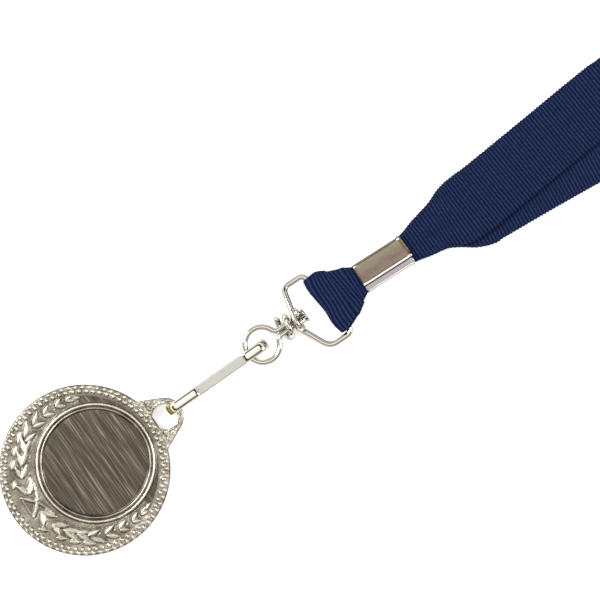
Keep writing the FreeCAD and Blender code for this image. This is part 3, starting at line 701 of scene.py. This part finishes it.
# The strip's section: half round or coined flat on the outside, and nearly flat on the inside.
across_strip = np.linspace(-1, 1, 15)
half_round = STRIP_THICK * (0.32 + 0.68 * np.sqrt(np.maximum(0, 1 - across_strip ** 2 * 0.96)))
coined_flat = 0.60 * STRIP_THICK * (1 - 0.35 * smooth_step(abs(across_strip), 0.88, 1.0))
INSIDE = [(0.99, 0.04), (0.9, 0.0), (0.0, 0.0), (-0.9, 0.0), (-0.99, 0.04)]
link_points, coined = [], []
for (x, z), (out_x, out_z) in link_line:
    coin = (smooth_step(x, COIN_START - COIN_BLEND, COIN_START)
            * (1 - smooth_step(x, COIN_END, COIN_END + COIN_BLEND)))
    strip = [*zip(across_strip, half_round * (1 - coin) + coined_flat * coin), *INSIDE]
    link_points += [(x + out_x * rise, across * LINK_WIDTH / 2, z + out_z * rise) for across, rise in strip]
    coined.append(coin > 0.5)
columns = len(across_strip) + len(INSIDE)
link_faces = grid_faces(len(link_line), columns, True, True)
face_kind = [int(coined[i // columns] and coined[(i // columns + 1) % len(coined)]
                 and i % columns < len(across_strip) - 1) for i in range(len(link_faces))]
link = make_piece("half_round_link", link_points, link_faces, [LINK, COINED], "link", ("connector_link",),
                  face_kind)

# ---- medal ----

BEADS, BEAD_ROWS = 72, ((19.38, 0.44, 0.0), (18.50, 0.50, 0.5))  # radius of the row, of a bead, and its shift
RECESS_END, LIP_END, GROUND_END, FIELD_OUTER, WREATH_END = 12.15, 14.4, 17.35, 17.5, 17.9
EDGE_TOP = 2.05
LEAF_WIDTH, LEAF_RISE, LEAF_RISE_BY_WIDTH = 1.6, 0.22, 0.7
MOAT_WIDTH, MOAT_DEPTH, GRAIN = 0.34, 0.17, 0.10
PLAIN_HALF_ANGLE = math.radians(61)  # the wreath stops short of the lug by this much
LIP_PROFILE = np.array([
    (0, 2.0), (12.2, 2.0), (12.4, 1.95), (12.5, 2.35), (12.62, 2.55), (12.85, 2.62), (13.05, 2.50),
    (13.15, 2.34), (13.27, 2.38), (13.38, 2.75), (13.52, 2.98), (13.72, 3.08), (13.95, 2.95), (14.12, 2.68),
    (14.28, 2.44), (LIP_END, 2.40)])
RIM_PROFILE = np.array([(17.2, 2.40), (17.9, 2.48), (18.2, 2.52), (19.6, 2.52), (19.8, 2.45), (19.95, 2.25)])
ring_radii = np.concatenate([
    [2.5, 6.0, 9.5, 11.6], [12.2, 12.4, 12.5, 12.58, 12.7, 12.85, 12.98, 13.08, 13.18, 13.27],
    np.linspace(13.36, LIP_END, 10), np.linspace(14.5, 17.5, 33), np.linspace(17.6, 19.84, 23), [19.95, 20.0]])
steps = BEADS * 14
theta = np.arange(steps) * TAU / steps
R, T = np.meshgrid(ring_radii, theta, indexing="ij")
# Rings are centred on the recess inside the lip, and slide over to the disc's centre by the bead rows.
ring_centre = RECESS_X * np.interp(R, [LIP_END, FIELD_OUTER], [1, 0])
X, Y = ring_centre + R * np.cos(T), R * np.sin(T)
from_middle, angle_at = np.hypot(X, Y), np.arctan2(Y, X)
Z = np.where(R <= LIP_END, np.interp(R, LIP_PROFILE[:, 0], LIP_PROFILE[:, 1]),
             np.interp(from_middle, RIM_PROFILE[:, 0], RIM_PROFILE[:, 1]))
Z[-1] = EDGE_TOP

# The wreath's strokes on the -Y side, each from its root to its tip with its half width; +Y mirrors them.
STROKES = (
    # the crossed stems
    ((-13.3, 0.1), (-16.0, -2.9), 0.36), ((-16.0, 0.0), (-16.0, -2.9), 0.14),
    ((-13.3, 0.0), (-12.1, -2.6), 0.26), ((-12.3, -2.2), (-11.5, -4.6), 0.26),
    # leaves that point inwards
    ((-13.7, -2.3), (-11.3, -5.7), 0.52), ((-13.3, -6.4), (-10.2, -8.7), 0.52),
    ((-11.8, -8.9), (-8.4, -11.6), 0.52), ((-9.6, -11.2), (-6.7, -12.8), 0.48),
    ((-7.8, -13.2), (-4.5, -13.6), 0.46), ((-4.4, -15.1), (-1.2, -14.4), 0.48),
    ((-1.0, -15.9), (1.7, -14.9), 0.46), ((2.6, -16.1), (5.0, -14.9), 0.42),
    ((5.2, -15.9), (7.4, -14.8), 0.36),
    # leaves that point outwards
    ((-13.7, -2.4), (-15.3, -5.8), 0.56), ((-13.3, -6.5), (-13.1, -9.6), 0.50),
    ((-11.7, -9.2), (-10.6, -12.3), 0.50), ((-9.6, -11.5), (-8.0, -14.4), 0.50),
    ((-7.5, -14.0), (-4.8, -17.0), 0.48), ((-4.2, -15.5), (-1.5, -17.5), 0.48),
    ((-0.9, -16.2), (1.3, -17.4), 0.42), ((2.6, -16.3), (4.7, -17.1), 0.38),
    ((5.3, -16.1), (7.3, -16.2), 0.34),
    # small leaves along the outside
    ((-16.4, -5.4), (-14.8, -7.1), 0.42), ((-14.2, -9.4), (-12.2, -11.1), 0.46),
    ((-12.1, -11.8), (-9.9, -13.6), 0.46), ((-9.6, -13.8), (-7.2, -15.9), 0.46),
    ((6.9, -15.5), (8.8, -14.7), 0.34),
)


def raise_stroke(heights, moats, start, end, half_width, rise):
    """Adds a pointed leaf, ridged down its middle, between two points of the face, and the hollow round it."""
    start, end = np.array(start), np.array(end)
    length = np.linalg.norm(end - start)
    along_leaf = (end - start) / length
    dx, dy = X - start[0], Y - start[1]
    u = (dx * along_leaf[0] + dy * along_leaf[1]) / length
    v = -dx * along_leaf[1] + dy * along_leaf[0]
    width = half_width * np.sin(math.pi * np.clip(u, 0, 1) ** 0.8) ** 0.6
    shape = np.clip(1 - np.abs(v) / np.maximum(width, 1e-6), 0, 1) ** 0.65
    np.maximum(heights, np.where((u > 0) & (u < 1), rise * shape, 0), out=heights)
    near = np.clip((width + MOAT_WIDTH - np.abs(v)) / MOAT_WIDTH, 0, 1) * ((u > -0.06) & (u < 1.06))
    np.maximum(moats, near, out=moats)


relief, moats = np.zeros_like(Z), np.zeros_like(Z)
for start, end, half_width in STROKES:
    for side in (1, -1):
        raise_stroke(relief, moats, (start[0], side * start[1]), (end[0], side * end[1]),
                     LEAF_WIDTH * half_width, LEAF_RISE + LEAF_RISE_BY_WIDTH * half_width)
relief = np.where(from_middle < WREATH_END, relief, 0)
in_plain = np.abs(angle_at) < PLAIN_HALF_ANGLE
is_ground = (relief < 0.04) & (from_middle < GROUND_END)
grain = GRAIN * np.random.default_rng(3).random(Z.shape)
relief = np.where(is_ground & ~in_plain & (R > LIP_END), grain * (1 - moats) - MOAT_DEPTH * moats, relief)
for row_radius, bead_radius, shift in BEAD_ROWS:
    offset = ((T / TAU * BEADS + shift) % 1 - 0.5) * TAU / BEADS * R
    gap = np.hypot(offset, R - row_radius)
    relief = np.maximum(relief, np.sqrt(np.clip(bead_radius ** 2 - gap ** 2, 0, None)) * 0.95)
Z = Z + relief
is_brushed = ((R < RECESS_END) | (is_ground & in_plain & (R > LIP_END)))[:-1]
face_points = np.stack([X, Y, Z], axis=-1).reshape(-1, 3)
face_quads = grid_faces(len(ring_radii), steps, wrap_columns=True, flip=True)
# Below the face: the edge, a small round and the flat back, closed at both centres.
BELOW = [(20.0, 0.6), (19.82, 0.18), (19.4, 0.0), (10.0, 0.0)]
below_points = np.concatenate([
    np.stack([r * np.cos(theta), r * np.sin(theta), np.full(steps, z)], axis=1) for r, z in BELOW])
disc_points = np.concatenate([face_points, below_points, [(RECESS_X, 0, 2.0), (0, 0, 0)]])
wall_quads = grid_faces(len(BELOW) + 1, steps, wrap_columns=True, start=(len(ring_radii) - 1) * steps, flip=True)
top_centre, back_centre = len(disc_points) - 2, len(disc_points) - 1
last_row = (len(ring_radii) + len(BELOW) - 1) * steps
fans = [[top_centre, i, (i + 1) % steps] for i in range(steps)]
fans += [[back_centre, last_row + (i + 1) % steps, last_row + i] for i in range(steps)]

# The lug: rings from its hole out to its edge, with a raised border and a stippled middle.
LUG_SIDES = 160
LUG_SHARES = [*np.linspace(0, 0.94, 13), 0.98, 1.0]
LUG_ROOT = np.array([17.9, 7.2])  # where its side meets the disc
RIM_UNDER_LUG = 19.45
MIDDLE_DROP, BORDER, STIPPLE = 0.38, 0.16, 0.28  # heights below the lug's top, and above its middle
RIDGE_X, GROOVE_X, RIDGE_WIDTH = 19.75, 20.15, 0.18  # a straight ridge and groove cross it near the disc
around = np.arange(LUG_SIDES) * TAU / LUG_SIDES
to_root = LUG_ROOT - np.array([LUG_REACH, 0])
root_angle = math.atan2(to_root[1], to_root[0])
tangent_angle = root_angle - math.acos(LUG_RADIUS / np.linalg.norm(to_root))
touch = np.array([LUG_REACH + LUG_RADIUS * math.cos(tangent_angle), LUG_RADIUS * math.sin(tangent_angle)])


def lug_edge(angle):
    """How far the lug's edge, or the disc's rim, is from the middle of the hole in a direction."""
    turned = abs((angle + math.pi) % TAU - math.pi)
    if turned <= tangent_angle:
        return LUG_RADIUS
    way = np.array([math.cos(turned), math.sin(turned)])
    if turned > root_angle:
        b = LUG_REACH * way[0]
        return -b - math.sqrt(max(b * b - (LUG_REACH ** 2 - RIM_UNDER_LUG ** 2), 0))
    along_side = touch - LUG_ROOT
    across_side = np.array([along_side[1], -along_side[0]])
    return to_root @ across_side / (way @ across_side)


def bell(distance, width):
    """1 in the middle, falling away smoothly to both sides."""
    return np.exp(-(distance / width) ** 2)


edge_reach = np.array([lug_edge(angle) for angle in around])
is_free = np.abs((around + math.pi) % TAU - math.pi) < root_angle
rng = np.random.default_rng(7)
lug_points = []
for share in LUG_SHARES:
    reach = LUG_HOLE + (edge_reach - LUG_HOLE) * share
    from_edge = edge_reach - reach
    border = np.where(is_free, 1 - smooth_step(from_edge, 0.35, 0.6), 0)
    round_off = 0.14 * np.where(is_free, 1 - smooth_step(from_edge, 0.0, 0.18), 0) + 0.2 * float(share == 0)
    x = LUG_REACH + reach * np.cos(around)
    ridge = 0.24 * bell(x - RIDGE_X, RIDGE_WIDTH) - 0.2 * bell(x - GROOVE_X, RIDGE_WIDTH)
    hole_rim = 0.12 * bell(reach - LUG_HOLE - 0.2, 0.2)
    stipple = STIPPLE * rng.random(LUG_SIDES) * float(0 < share < 1)
    height = LUG_TOP - MIDDLE_DROP + BORDER * border + ridge + hole_rim + stipple * (1 - border) - round_off
    lug_points.append(np.stack([x, reach * np.sin(around), height], axis=1))
for share in (1.0, 0.0):
    reach = LUG_HOLE + (edge_reach - LUG_HOLE) * share
    lug_points.append(np.stack([LUG_REACH + reach * np.cos(around), reach * np.sin(around),
                                np.full(LUG_SIDES, LUG_BOTTOM)], axis=1))
lug_points = np.concatenate(lug_points)
lug_quads = grid_faces(len(LUG_SHARES) + 2, LUG_SIDES, wrap_columns=True, wrap_rows=True, flip=True)
medal_points = np.concatenate([disc_points, lug_points])
cos_lug, sin_lug = math.cos(LUG_TURN), math.sin(LUG_TURN)
medal_points = medal_points @ np.array([[cos_lug, sin_lug, 0], [-sin_lug, cos_lug, 0], [0, 0, 1]])
medal_faces = [*face_quads, *wall_quads, *fans, *(lug_quads + len(disc_points))]
medal_kind = np.concatenate([np.where(is_brushed.ravel(), 0, 1), np.ones(len(wall_quads), int),
                             np.zeros(steps, int), np.ones(steps + len(lug_quads), int)])
medal = make_piece("struck_medal", medal_points, medal_faces, [BRUSHED, CAST], "medal", ("medal_disc",),
                   medal_kind)

# ---- floor and light ----

floor_mesh = bpy.data.meshes.new("floor")
FLOOR = 15  # metres from its middle to each side
floor_mesh.from_pydata([(-FLOOR, -FLOOR, 0), (FLOOR, -FLOOR, 0), (FLOOR, FLOOR, 0), (-FLOOR, FLOOR, 0)],
                       [], [(0, 1, 2, 3)])
floor = bpy.data.objects.new("floor", floor_mesh)
floor.location.z = -0.0002
bpy.context.collection.objects.link(floor)
paper = Nodes("white_paper")
paper.link(paper.ramp(paper.noise((40, 40, 40)), [(0.3, 0.90), (0.7, 0.92)]), "Base Color")
paper.shader.inputs["Roughness"].default_value = 0.9
paper.shader.inputs["Specular IOR Level"].default_value = 0.1
paper.shader.inputs["Emission Color"].default_value = (1, 1, 1, 1)
paper.shader.inputs["Emission Strength"].default_value = 0.45
floor_mesh.materials.append(paper.material)

world = bpy.data.worlds.new("studio")
bpy.context.scene.world = world
world.use_nodes = True
sky = world.node_tree
direction = sky.nodes.new("ShaderNodeTexCoord").outputs["Generated"]


def sky_ramp(value, stops):
    """Light of a warm white, by a value from 0 to 1."""
    node = sky.nodes.new("ShaderNodeValToRGB")
    sky.links.new(value, node.inputs[0])
    while len(node.color_ramp.elements) < len(stops):
        node.color_ramp.elements.new(0.5)
    for element, (position, light) in zip(node.color_ramp.elements, stops):
        element.position = position
        element.color = (light, light * 0.985, light * 0.95, 1)
    return node.outputs[0]


# By height, dark and bright rings under a bright zenith give the metal its contrast. By direction, the
# side towards -Y is dimmer.
upwards = sky.nodes.new("ShaderNodeSeparateXYZ")
sky.links.new(direction, upwards.inputs[0])
facing = sky.nodes.new("ShaderNodeVectorMath")
facing.operation = "DOT_PRODUCT"
sky.links.new(direction, facing.inputs[0])
facing.inputs[1].default_value = (0.25, -0.62, 0.74)
height_light = sky_ramp(upwards.outputs[2], [
    (0.0, 0.5), (0.10, 0.08), (0.28, 0.10), (0.42, 1.5), (0.60, 1.5), (0.70, 0.12), (0.87, 0.06), (0.935, 1.7),
    (1.0, 2.3)])
side_light = sky_ramp(facing.outputs["Value"], [(0.0, 1.25), (0.5, 1.1), (0.80, 0.8), (1.0, 0.7)])
both = sky.nodes.new("ShaderNodeMix")
both.data_type, both.blend_type = "RGBA", "MULTIPLY"
both.inputs["Factor"].default_value = 1
sky.links.new(height_light, both.inputs[6])
sky.links.new(side_light, both.inputs[7])
sky.links.new(both.outputs[2], sky.nodes["Background"].inputs[0])
sky.nodes["Background"].inputs[1].default_value = 0.95


def softbox(name, place, size, power):
    """A rectangular lamp turned to the middle of the view, with its place and size in metres."""
    data = bpy.data.lights.new(name, "AREA")
    data.shape, data.size, data.size_y, data.energy = "RECTANGLE", *size, power
    lamp = bpy.data.objects.new(name, data)
    lamp.location = place
    aim = -np.array(place) + np.array([VIEW_CENTRE[0] * MM, VIEW_CENTRE[1] * MM, 0])
    tilt = math.acos(-aim[2] / np.linalg.norm(aim))
    lamp.rotation_euler = (tilt, 0, math.atan2(aim[1], aim[0]) - math.pi / 2)
    bpy.context.collection.objects.link(lamp)


softbox("key", (-0.45, 0.75, 0.9), (0.5, 0.35), 16)
softbox("fill", (0.9, -0.5, 0.8), (0.5, 0.5), 7)
bpy.context.scene.view_settings.view_transform = "Standard"
